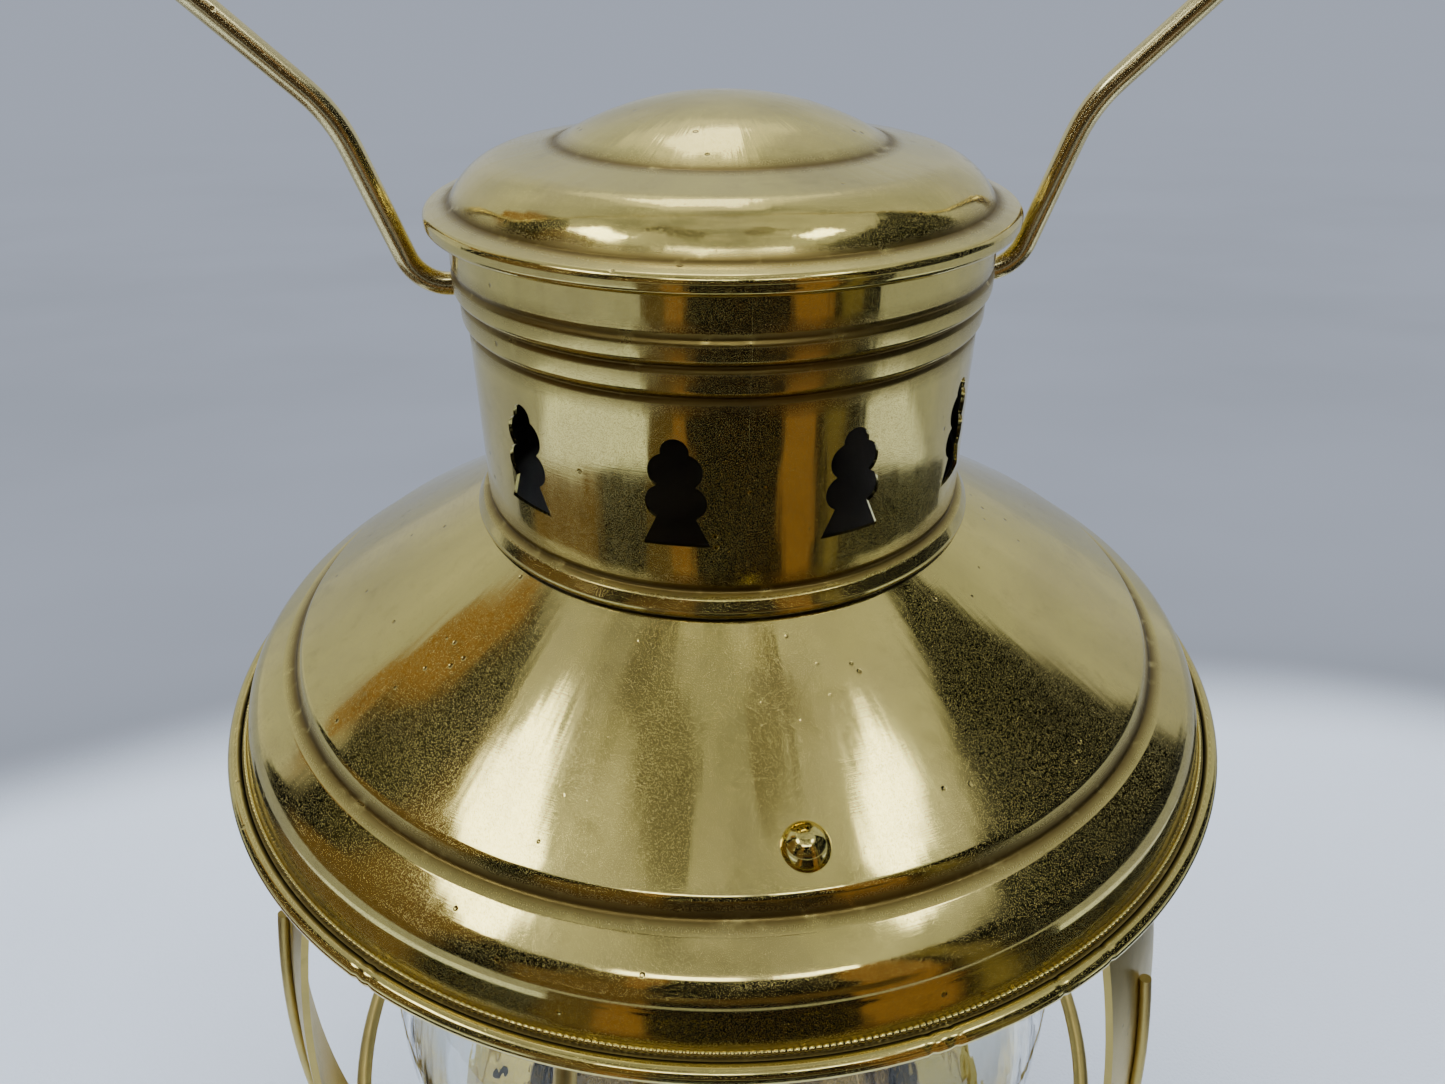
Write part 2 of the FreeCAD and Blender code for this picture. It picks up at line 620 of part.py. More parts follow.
def filler_cap():
    base = Vector(*FILLER_PLACE, CAP_FOOT)
    radius, height = FILLER_CAP
    body = Part.makeCylinder(radius, height, base)
    bore = Part.makeCylinder(FILLER_RADIUS + RUNNING_CLEARANCE, FILLER_CAP_BORE, base)
    middle = base.z + height / 2
    top_edges = [edge for edge in body.Edges if edge.BoundBox.ZMin > middle]
    body = body.makeFillet(FILLER_CAP_ROUND, top_edges)
    grooves, depth = FILLER_CAP_GROOVES
    return knurled(body, radius, grooves, base, UP, depth).cut(bore)


def on_spindle(radius, start, length):
    """Cylinder on the wick spindle's axis."""
    return Part.makeCylinder(radius, length, Vector(start, SPINDLE_OFFSET, SPINDLE_HEIGHT),
                             Vector(1, 0, 0))


def burner_body():
    """Drum with a threaded spigot, air holes and a bore for the wick spindle."""
    bore, spigot, foot = SPIGOT
    wall = BURNER_RADIUS - BURNER_WALL
    drum = revolved(polygon_face([(bore, foot), (spigot, foot), (spigot, BURNER_FOOT),
                                  (BURNER_RADIUS, BURNER_FOOT), (BURNER_RADIUS, BURNER_TOP),
                                  (wall, BURNER_TOP), (wall, DRUM_FLOOR), (bore, DRUM_FLOOR)]))
    count, radius, height = DRUM_HOLES
    start = Vector(0, 2 * BURNER_WALL - BURNER_RADIUS, height)
    hole = Part.makeCylinder(radius, 4 * BURNER_WALL, start, Vector(0, -1, 0))
    drum = drum.cut([turned(hole, 360.0 * n / count) for n in range(count)])
    return drum.cut(on_spindle(SPINDLE_RADIUS + RUNNING_CLEARANCE, 0, 2 * BURNER_RADIUS))


def wick_box(width, depth, low, high):
    return block((-width / 2, -depth / 2, low), (width / 2, depth / 2, high))


def wick_tube():
    return wick_box(*WICK_TUBE).cut(wick_box(*WICK_TUBE_BORE))


def burner_deck():
    return ring(0.0, BURNER_RADIUS - BURNER_WALL, *DECK_PLATE).cut(wick_box(*WICK_TUBE))


def burner_cone():
    """Air deflector with a slot for the flame."""
    return spun(DEFLECTOR_OUTLINE, DEFLECTOR_SHEET).cut(wick_box(*FLAME_SLOT))


def chimney_holder():
    """Ring round the drum with a shelf and springy prongs for the lamp glass."""
    holder = revolved(polygon_face(HOLDER_OUTLINE))
    slot = block(*PRONG_SLOT)
    step = 360.0 / HOLDER_PRONGS
    return holder.cut([turned(slot, step * (n + 0.5)) for n in range(HOLDER_PRONGS)])


def lamp_glass():
    return spun(LAMP_GLASS_OUTLINE, LAMP_GLASS)


def spindle_sleeve():
    radius, end = SLEEVE
    start = math.sqrt(BURNER_RADIUS ** 2 - SPINDLE_OFFSET ** 2)
    tube = on_spindle(radius, start, end - start)
    bore = on_spindle(SPINDLE_RADIUS + RUNNING_CLEARANCE, start, end)
    height = BURNER_TOP - BURNER_FOOT
    drum = Part.makeCylinder(BURNER_RADIUS, height, Vector(0, 0, BURNER_FOOT))
    return tube.cut(bore).cut(drum)


def wick_spindle():
    low, high = SPINDLE_ENDS
    radius, thickness = SPUR_WHEEL
    wheels = [on_spindle(radius, x, thickness) for x in SPUR_WHEELS]
    return on_spindle(SPINDLE_RADIUS, low, high - low).fuse(wheels).removeSplitter()


def wick_knob():
    radius, thickness = KNOB
    boss_radius, boss_length = KNOB_BOSS
    disc = on_spindle(radius, KNOB_PLACE, thickness)
    boss = on_spindle(boss_radius, KNOB_PLACE, boss_length)
    centre = Vector(KNOB_PLACE, SPINDLE_OFFSET, SPINDLE_HEIGHT)
    knob = disc.fuse(boss).removeSplitter()
    knob = knurled(knob, radius, KNOB_GROOVES, centre, Vector(1, 0, 0), boss_length)
    return knob.cut(on_spindle(SPINDLE_RADIUS, KNOB_PLACE, KNOB_BORE))


def group(shapes):
    return Part.makeCompound(shapes)


def main():
    save("hood_shell", hood_shell())
    save("hood_rim_wire", torus(RIM_RADIUS, RIM_WIRE_RADIUS, RIM_HEIGHT))
    save("chimney_wall", chimney_wall())
    save("cap", cap())
    save("draught_baffle", draught_baffle())
    save("baffle_stud", baffle_stud())
    save("inner_flue", inner_flue())
    save("globe_top_seal", ring(*TOP_SEAL))
    for name, azimuth in zip(("front", "back"), RIVET_AZIMUTHS):
        save("hood_rivet_" + name, hood_rivet(azimuth))
        save("hood_tongue_" + name, hood_tongue(azimuth))
    save("bail", bail())

    save("top_ring", drilled(top_ring(), RIVET_ROWS[1:]))
    save("strap_left", drilled(left_strap(), RIVET_ROWS))
    save("strap_right", drilled(strap(STRAP_AZIMUTHS[1]), RIVET_ROWS))
    save("strap_back", drilled(strap(STRAP_AZIMUTHS[2]), RIVET_ROWS))
    for name, azimuth in zip(("left", "right", "back"), STRAP_AZIMUTHS):
        save("strap_rod_" + name, strap_rod(azimuth))
    for name, azimuth in zip(("front", "right", "back"), WIRE_AZIMUTHS):
        save("guard_wire_" + name, guard_wire(azimuth))
    save("guard_ring", guard_ring())
    save("strap_rivets_lower", group(strap_rivets(RIVET_ROWS[0])))
    save("strap_rivets_upper", group(strap_rivets(RIVET_ROWS[1])))
    save("base_pan", drilled(base_pan(), RIVET_ROWS[:1]))
    save("foot_wire", torus(FOOT_RADIUS, FOOT_WIRE_RADIUS, FOOT_HEIGHT))
    save("globe_gallery", globe_gallery())
    save("globe_seat_seal", ring(58.6, GALLERY[1], DECK_HEIGHT + SEAT_HEIGHT, GLOBE_ENDS[0]))
    save("font_clips", group(font_clips()))
    save("globe_glass", globe_glass())

    save("font_tank", font_tank())
    save("font_flange", ring(TANK_RADIUS, FLANGE_RADIUS, *FLANGE_SPAN))
    save("font_collar", ring(*COLLAR, TANK_NECK, BURNER_FOOT))
    save("filler_tube", filler_tube())
    save("filler_cap", filler_cap())
    radius, thickness, height = FILLER_WASHER
    save("filler_washer", Part.makeCylinder(radius, thickness, Vector(*FILLER_PLACE, height)))
    save("burner_body", burner_body())
    save("wick_tube", wick_tube())
    save("burner_deck", burner_deck())
    save("burner_cone", burner_cone())
    save("chimney_holder", chimney_holder())
    save("spindle_sleeve", spindle_sleeve())
    save("wick_spindle", wick_spindle())
    save("wick_knob", wick_knob())
    save("wick", wick_box(*WICK))
    save("lamp_glass", lamp_glass())


main()
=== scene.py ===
import json
import math

import bmesh
import bpy
from mathutils import Matrix, Vector, noise

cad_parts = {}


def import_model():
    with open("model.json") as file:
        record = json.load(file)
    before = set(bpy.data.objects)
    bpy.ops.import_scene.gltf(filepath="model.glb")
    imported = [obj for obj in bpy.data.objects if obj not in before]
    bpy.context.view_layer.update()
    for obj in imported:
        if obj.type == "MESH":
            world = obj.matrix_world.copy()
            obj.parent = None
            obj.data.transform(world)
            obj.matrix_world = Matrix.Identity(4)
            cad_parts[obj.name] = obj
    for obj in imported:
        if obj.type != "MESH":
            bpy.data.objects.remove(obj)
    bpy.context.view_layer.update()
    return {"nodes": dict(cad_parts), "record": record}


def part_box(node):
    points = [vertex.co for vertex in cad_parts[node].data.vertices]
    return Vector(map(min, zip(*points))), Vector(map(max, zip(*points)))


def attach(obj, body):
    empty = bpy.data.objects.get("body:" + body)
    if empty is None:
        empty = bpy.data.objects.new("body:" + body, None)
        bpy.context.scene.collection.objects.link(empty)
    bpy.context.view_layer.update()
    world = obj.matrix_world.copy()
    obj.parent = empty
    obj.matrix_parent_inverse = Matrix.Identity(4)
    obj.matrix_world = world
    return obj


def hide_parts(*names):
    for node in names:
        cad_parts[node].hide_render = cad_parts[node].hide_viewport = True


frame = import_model()

MM = 0.001
RIM_HEIGHT = sum(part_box("hood_rim_wire")[i][2] for i in (0, 1)) / 2 / MM

# Sizes in millimetres; heights are above the rim plane

SHEET = 0.8
THIN_SHEET = 0.7
HOOD_TURN = math.radians(3.85)
CHIMNEY_RADIUS = 49.5
CUTTER_REACH = 10
VENT_COUNT = 10
VENT_FOOT = 56.1
VENT_HALF_WIDTH = 5.9
PIVOT_HEIGHT = 88.3
PIVOT_HOLE_RADIUS = 2.3
PIVOT_HOLE_SIDES = 32
BAIL_RADIUS = 2.2
BAIL_SIDES = 28
CURL_RADIUS = 108.4
CURL_WIRE = 1.65
CHATTER_RADIUS = 106.3
CHATTER_WIRE = 0.5
CHATTER_RISE = 1.75
CHATTER_RIBS = 600
RIB_DEPTH = 0.22
GROOVE_WIDTH = math.radians(32)
CURL_GROOVE = math.radians(140)
CHATTER_GROOVE = math.radians(320)

# The camera; its distance and rise are multiples of the rim's radius

RIM_RADIUS = 110.0
CAMERA_DISTANCE = 1.787 * RIM_RADIUS
CAMERA_RISE = 1.326 * RIM_RADIUS
CAMERA_TURN = math.radians(-5.0)
CAMERA_PITCH = math.radians(31.06)
FOCAL_LENGTH = 25.16
SENSOR_WIDTH = 36.0

# Outlines: (radius, height, corner radius)

HOOD = [(107.2, 1.0, 0), (106.2, 1.15, 0.9), (103.7, 10.8, 9.0), (96.2, 15.2, 1.6),
        (93.6, 15.9, 1.2), (92.0, 18.9, 2.6), (51.6, 42.11, 0)]

CHIMNEY = [(51.1, 40.9, 0), (51.1, 42.3, 0.3), (52.5, 43.7, 1.3), (50.9, 46.2, 0.9),
           (49.2, 46.9, 0.6), (49.5, 48.4, 1.2), (49.5, 82.3, 1.0), (49.0, 83.2, 0.4),
           (50.5, 84.3, 1.2), (50.5, 87.8, 1.2), (49.9, 88.8, 0.4), (51.5, 89.8, 1.2),
           (51.5, 92.7, 1.2), (50.9, 93.5, 0.4), (51.3, 94.6, 1.2), (51.2, 101.0, 0)]

CROWN_RADIUS = 63.3
CROWN_HEIGHT = 121.8
CROWN_SLOPE = math.radians(13.9)
CAP = [(50.4, 101.0, 0), (55.0, 101.0, 1.3), (55.0, 104.1, 1.4), (50.3, 105.1, 0.8),
       (46.0, 111.4, 14.0), (30.6, 114.0, 2.0),
       (CROWN_RADIUS * math.tan(CROWN_SLOPE), CROWN_HEIGHT, CROWN_RADIUS), (0, CROWN_HEIGHT, 0)]

BAIL = [(44.5, 0, 0), (58.3, 0, 8.0), (68.5, 30.3, 24.0), (121.0, 80.3, 70.0),
        (121.0, 168.0, 70.0), (15.0, 206.5, 12.0), (0, 221.9, 8.0)]


def flat(point):
    return Vector((point[0], point[1]))


def rounded(points, degrees_per_step=4.0, longest=None):
    """Points along the outline, with its corners rounded, and how hollow it is at each."""
    path = [(flat(points[0]), 0.0)]
    for before, here, after in zip(points, points[1:], points[2:]):
        into = (flat(here) - flat(before)).normalized()
        out = (flat(after) - flat(here)).normalized()
        turn = into.angle_signed(out)
        if here[2] == 0:
            path.append((flat(here), 0.0))
            continue
        reach = here[2] * math.tan(abs(turn) / 2)
        start = flat(here) - into * reach
        side = Vector((-into.y, into.x)) * (1 if turn < 0 else -1)
        centre = start + side * here[2]
        steps = max(2, math.ceil(math.degrees(abs(turn)) / degrees_per_step))
        hollow = 1.0 if turn > 0 else 0.0
        for step in range(steps + 1):
            arm = start - centre
            arm.rotate(Matrix.Rotation(-turn * step / steps, 2))
            path.append((centre + arm, hollow))
    path.append((flat(points[-1]), 0.0))
    if longest:
        path = filled_in(path, longest)
    return path


def filled_in(path, longest):
    """Add points so that no run is longer than the given length."""
    result = [path[0]]
    for (start, _), (end, hollow) in zip(path, path[1:]):
        count = max(1, math.ceil((end - start).length / longest))
        for step in range(1, count + 1):
            result.append((start.lerp(end, step / count), hollow if step == count else 0.0))
    return result


def offset(path, distance):
    """The path moved to its left by the distance."""
    moved = []
    points = [p for p, _ in path]
    for index, point in enumerate(points):
        before = points[max(index - 1, 0)]
        after = points[min(index + 1, len(points) - 1)]
        run = (after - before).normalized()
        moved.append(point + Vector((-run.y, run.x)) * distance)
    return moved


def hollowness(path, reach=1.3):
    """How near each point is to a hollow corner, from 0 to 1."""
    hollows = [p for p, h in path if h > 0]
    return [max([math.exp(-((p - q).length / reach) ** 2) for q in hollows] or [0.0])
            for p, _ in path]


def new_object(name, mesh):
    obj = bpy.data.objects.new(name, mesh)
    bpy.context.scene.collection.objects.link(obj)
    return obj


def smooth(mesh, degrees=35.0):
    for polygon in mesh.polygons:
        polygon.use_smooth = True
    mesh.set_sharp_from_angle(angle=math.radians(degrees))


def dent(point, size, depth, seed):
    """Gentle hand-made unevenness, in millimetres."""
    where = Vector((point.x / size, point.y / size, point.z / size + seed))
    return depth * (noise.noise(where) + 0.35 * noise.noise(where * 2.7))


def spun_skin(name, points, thickness, steps=512, dents=(30.0, 0.1), seed=0.0, longest=3.0):
    """Sheet spun from an outline, with a smooth uneven surface, grime where it is hollow and a
    painted near-black shade on its inner face.
    """
    path = rounded(points, longest=longest)
    outer = [p for p, _ in path]
    dirt = hollowness(path)
    inner = offset(path, thickness)
    if outer[-1].x < 1e-6:
        inner[-1].x = 0.0
    section = list(zip(outer, dirt)) + [(p, 0.0) for p in reversed(inner)]
    normals = offset(path, -1.0)
    push = [n - p for n, p in zip(normals, outer)]
    push = push + list(reversed(push))
    mesh = bpy.data.meshes.new(name)
    bm = bmesh.new()
    layer = bm.verts.layers.float.new("grime")
    soot = bm.verts.layers.float.new("soot")
    rings = []
    for index, ((point, dirty), out) in enumerate(zip(section, push)):
        ring_verts = []
        count = 1 if point.x < 1e-6 else steps
        for step in range(count):
            angle = 2 * math.pi * step / steps
            around = Vector((math.sin(angle), -math.cos(angle), 0))
            where = around * point.x + Vector((0, 0, point.y + RIM_HEIGHT))
            amount = dent(where, dents[0], dents[1], seed)
            where = where + (around * out.x + Vector((0, 0, out.y))) * amount
            vert = bm.verts.new(where * MM)
            vert[layer] = dirty
            # Painted shade: the inner face of the sheet is marked to be painted near-black.
            vert[soot] = 1.0 if index >= len(outer) else 0.0
            ring_verts.append(vert)
        rings.append(ring_verts)
    for low, high in zip(rings, rings[1:] + rings[:1]):
        join_rings(bm, low, high)
    bmesh.ops.recalc_face_normals(bm, faces=bm.faces)
    bm.to_mesh(mesh)
    bm.free()
    smooth(mesh)
    return new_object(name, mesh)


def join_rings(bm, low, high):
    count = max(len(low), len(high))
    if count == 1:
        return
    for step in range(count):
        after = (step + 1) % count
        corners = [low[step % len(low)], low[after % len(low)],
                   high[after % len(high)], high[step % len(high)]]
        unique = list(dict.fromkeys(corners))
        if len(unique) > 2:
            bm.faces.new(unique)


def torus_skin(name, radius, minor, height, steps=512, rounds=24, nicks=(), ribs=0,
               groove=0.0):
    """Ring of round wire, thinner at its nicks or finely ribbed, with grime and a painted black
    shade in its groove.
    """
    mesh = bpy.data.meshes.new(name)
    bm = bmesh.new()
    layer = bm.verts.layers.float.new("grime")
    soot = bm.verts.layers.float.new("soot")
    rings = []
    for step in range(steps):
        angle = 2 * math.pi * step / steps
        around = Vector((math.sin(angle), -math.cos(angle), 0))
        thin = 1.0 + (RIB_DEPTH * math.cos(ribs * angle) if ribs else 0.0)
        for place, width, depth in nicks:
            gap = (angle - place + math.pi) % (2 * math.pi) - math.pi
            thin -= depth * math.exp(-(gap / width) ** 2)
        loop = []
        for turn in range(rounds):
            tilt = 2 * math.pi * turn / rounds
            r = radius + minor * thin * math.cos(tilt)
            z = height + minor * thin * math.sin(tilt)
            vert = bm.verts.new((around * r + Vector((0, 0, z))) * MM)
            # Painted shade: a black band along the wire's groove side, where shade falls; grime
            # uses the same band.
            depth = math.exp(-((tilt - groove) / GROOVE_WIDTH) ** 2)
            vert[layer] = depth
            vert[soot] = depth
            loop.append(vert)
        rings.append(loop)
    for low, high in zip(rings, rings[1:] + rings[:1]):
        join_rings(bm, low, high)
    bmesh.ops.recalc_face_normals(bm, faces=bm.faces)
    bm.to_mesh(mesh)
    bm.free()
    smooth(mesh, 60.0)
    return new_object(name, mesh)


# Chimney vents

def vent_outline():
    """Outline of the pawn-shaped vent, standing on its foot."""
    arcs = [((3.45, 5.3), (5.31, 8.6), (3.33, 11.4)), ((3.33, 11.4), (4.66, 14.5), (2.42, 17.3)),
            ((2.42, 17.3), (0.0, 20.1), (-2.42, 17.3))]
    points = [Vector((VENT_HALF_WIDTH, 0.0)), Vector((3.45, 5.3))]
    for start, middle, end in arcs:
        points += arc_points(Vector(start), Vector(middle), Vector(end))[1:]
    left = [Vector((-p.x, p.y)) for p in reversed(points) if p.y < 17.2]
    return points + left


def arc_points(start, middle, end, steps=10):
    """Points on the circle through three points."""
    ax, ay, bx, by, cx, cy = *start, *middle, *end
    d = 2 * (ax * (by - cy) + bx * (cy - ay) + cx * (ay - by))
    squares = [p.length_squared for p in (start, middle, end)]
    ux = (squares[0] * (by - cy) + squares[1] * (cy - ay) + squares[2] * (ay - by)) / d
    uy = (squares[0] * (cx - bx) + squares[1] * (ax - cx) + squares[2] * (bx - ax)) / d
    centre = Vector((ux, uy))
    first = math.atan2(ay - uy, ax - ux)
    last = math.atan2(cy - uy, cx - ux)
    mid = math.atan2(by - uy, bx - ux)
    while last < first:
        last += 2 * math.pi
    while mid < first:
        mid += 2 * math.pi
    if mid > last:
        last -= 2 * math.pi
    radius = (start - centre).length
    angles = [first + (last - first) * n / steps for n in range(steps + 1)]
    return [centre + Vector((math.cos(a), math.sin(a))) * radius for a in angles]


def prism(name, outline, low, high, turns):
    """Cutters: the outline stood up at the front, pushed through the wall, repeated."""
    mesh = bpy.data.meshes.new(name)
    bm = bmesh.new()
    for turn in turns:
        side = Vector((math.cos(turn), math.sin(turn), 0))
        front = Vector((math.sin(turn), -math.cos(turn), 0))
        walls = []
        for reach in (low, high):
            loop = [bm.verts.new((side * p.x + front * reach + Vector((0, 0, p.y))) * MM)
                    for p in outline]
            walls.append(loop)
            bm.faces.new(loop)
        join_rings(bm, *walls)
    bmesh.ops.recalc_face_normals(bm, faces=bm.faces)
    bm.to_mesh(mesh)
    bm.free()
    return new_object(name, mesh)


def applied(obj):
    """Bake the object's modifiers into its mesh."""
    bpy.context.view_layer.update()
    evaluated = obj.evaluated_get(bpy.context.evaluated_depsgraph_get())
    mesh = bpy.data.meshes.new_from_object(evaluated)
    obj.modifiers.clear()
    old = obj.data
    obj.data = mesh
    bpy.data.meshes.remove(old)
    return obj


def cut_with(obj, cutter):
    modifier = obj.modifiers.new("cut", "BOOLEAN")
    modifier.operation = "DIFFERENCE"
    modifier.solver = "EXACT"
    modifier.object = cutter
    applied(obj)
    bpy.data.objects.remove(cutter)


def chimney_skin():
    obj = spun_skin("chimney_skin", CHIMNEY, THIN_SHEET, steps=720, dents=(16.0, 0.12), seed=4.0)
    low, high = CHIMNEY_RADIUS - CUTTER_REACH, CHIMNEY_RADIUS + CUTTER_REACH
    foot = RIM_HEIGHT + VENT_FOOT
    outline = [Vector((p.x, p.y + foot)) for p in vent_outline()]
    pitch = 360 / VENT_COUNT
    turns = [HOOD_TURN + math.radians(pitch * (n + 0.5)) for n in range(VENT_COUNT)]
    cut_with(obj, prism("vents", outline, low, high, turns))
    pivot = Vector((0, RIM_HEIGHT + PIVOT_HEIGHT))
    angles = [2 * math.pi * n / PIVOT_HOLE_SIDES for n in range(PIVOT_HOLE_SIDES)]
    hole = [Vector((math.cos(a), math.sin(a))) * PIVOT_HOLE_RADIUS + pivot for a in angles]
    cut_with(obj, prism("pivots", hole, low, high, (math.pi / 2, -math.pi / 2)))
    smooth(obj.data, 30.0)
    return obj


# Handle

def bail_skin():
    """Bent round wire, from one pivot over the crown to the other."""
    far_side = [(-x, y, corner) for x, y, corner in reversed(BAIL[:-1])]
    route = [p for p, _ in rounded(BAIL + far_side, 5.0, 2.0)]
    height = RIM_HEIGHT + PIVOT_HEIGHT
    mesh = bpy.data.meshes.new("bail_skin")
    bm = bmesh.new()
    rings = []
    for index, point in enumerate(route):
        before = route[max(index - 1, 0)]
        after = route[min(index + 1, len(route) - 1)]
        run = (after - before).normalized()
        across = Vector((-run.y, 0, run.x))
        loop = []
        for turn in range(BAIL_SIDES):
            tilt = 2 * math.pi * turn / BAIL_SIDES
            arm = across * math.cos(tilt) + Vector((0, 1, 0)) * math.sin(tilt)
            where = Vector((point.x, 0, point.y + height)) + arm * BAIL_RADIUS
            loop.append(bm.verts.new(where * MM))
        rings.append(loop)
    for low, high in zip(rings, rings[1:]):
        join_rings(bm, low, high)
    bm.faces.new(rings[0])
    bm.faces.new(rings[-1])
    bmesh.ops.recalc_face_normals(bm, faces=bm.faces)
    bm.to_mesh(mesh)
    bm.free()
    smooth(mesh, 50.0)
    return new_object("bail_skin", mesh)


# Materials

class Nodes:
    """Short names for building a node material."""

    def __init__(self, name, tree=None):
        self.material = None
        if tree is None:
            self.material = bpy.data.materials.new(name)
            self.material.use_nodes = True
            tree = self.material.node_tree
        self.tree = tree
        self.tree.nodes.clear()

    def node(self, kind, **settings):
        made = self.tree.nodes.new(kind)
        for key, value in settings.items():
            setattr(made, key, value)
        return made

    def put(self, socket, value):
        if isinstance(value, bpy.types.NodeSocket):
            self.tree.links.new(value, socket)
        else:
            socket.default_value = value

    def math(self, operation, first, second=0.0):
        made = self.node("ShaderNodeMath", operation=operation)
        self.put(made.inputs[0], first)
        self.put(made.inputs[1], second)
        return made.outputs[0]

    def ramp(self, value, low, high, to_low=0.0, to_high=1.0):
        made = self.node("ShaderNodeMapRange", interpolation_type="SMOOTHSTEP")
        for socket, given in zip(made.inputs, (value, low, high, to_low, to_high)):
            self.put(socket, given)
        return made.outputs[0]

    def mix(self, factor, first, second):
        made = self.node("ShaderNodeMix", data_type="RGBA")
        self.put(made.inputs[0], factor)
        self.put(made.inputs[6], colour(first))
        self.put(made.inputs[7], colour(second))
        return made.outputs[2]

    def place(self, scale=(1, 1, 1), turn=(0, 0, 0)):
        where = self.node("ShaderNodeTexCoord").outputs["Object"]
        made = self.node("ShaderNodeMapping")
        self.put(made.inputs["Vector"], where)
        made.inputs["Scale"].default_value = scale
        made.inputs["Rotation"].default_value = turn
        return made.outputs[0]

    def noise(self, where, scale, detail=2.0, roughness=0.5, distortion=0.0):
        made = self.node("ShaderNodeTexNoise")
        self.put(made.inputs["Vector"], where)
        made.inputs["Scale"].default_value = scale
        made.inputs["Detail"].default_value = detail
        made.inputs["Roughness"].default_value = roughness
        made.inputs["Distortion"].default_value = distortion
        return made.outputs["Fac"]

    def cells(self, where, scale):
        made = self.node("ShaderNodeTexVoronoi")
        self.put(made.inputs["Vector"], where)
        made.inputs["Scale"].default_value = scale
        return made.outputs["Distance"]

    def bump(self, height, distance, normal=None):
        made = self.node("ShaderNodeBump")
        made.inputs["Distance"].default_value = distance
        self.put(made.inputs["Height"], height)
        if normal is not None:
            self.put(made.inputs["Normal"], normal)
        return made.outputs[0]

    def surface(self, shader):
        out = self.node("ShaderNodeOutputMaterial")
        self.tree.links.new(shader, out.inputs["Surface"])
        return self.material


def colour(value):
    if isinstance(value, tuple) and len(value) == 3:
        return (*value, 1.0)
    return value


def around_axis(n):
    """Radius, height and bearing about the lantern's axis."""
    split = n.node("ShaderNodeSeparateXYZ")
    n.put(split.inputs[0], n.node("ShaderNodeTexCoord").outputs["Object"])
    x, y, z = split.outputs
    radius = n.math("SQRT", n.math("ADD", n.math("MULTIPLY", x, x), n.math("MULTIPLY", y, y)))
    return radius, z, n.math("ARCTAN2", x, y)


def polar_noise(n, across, along, detail=3.0, roughness=0.6):
    """Noise stretched round the axis, or down it, by its two scales."""
    radius, height, bearing = around_axis(n)
    join = n.node("ShaderNodeCombineXYZ")
    n.put(join.inputs[0], n.math("MULTIPLY", n.math("ADD", radius, height), across))
    n.put(join.inputs[1], n.math("MULTIPLY", n.math("SUBTRACT", radius, height), across))
    n.put(join.inputs[2], n.math("MULTIPLY", bearing, along))
    return n.noise(join.outputs[0], 1.0, detail, roughness)


def stray_scratches(n, width, length, rare, turns):
    """Thin straight scratches in several directions."""
    total = None
    for turn in turns:
        where = n.place((1 / width, 1 / length, 1 / width), turn)
        line = n.ramp(n.noise(where, 1.0, 1.5, 0.4), rare, rare + 0.03)
        total = line if total is None else n.math("MAXIMUM", total, line)
    return total


TURNS = [(0.3, 0.5, 0.2), (1.2, 0.1, 0.9), (0.4, 1.3, 2.1), (0.9, 0.7, -0.8)]


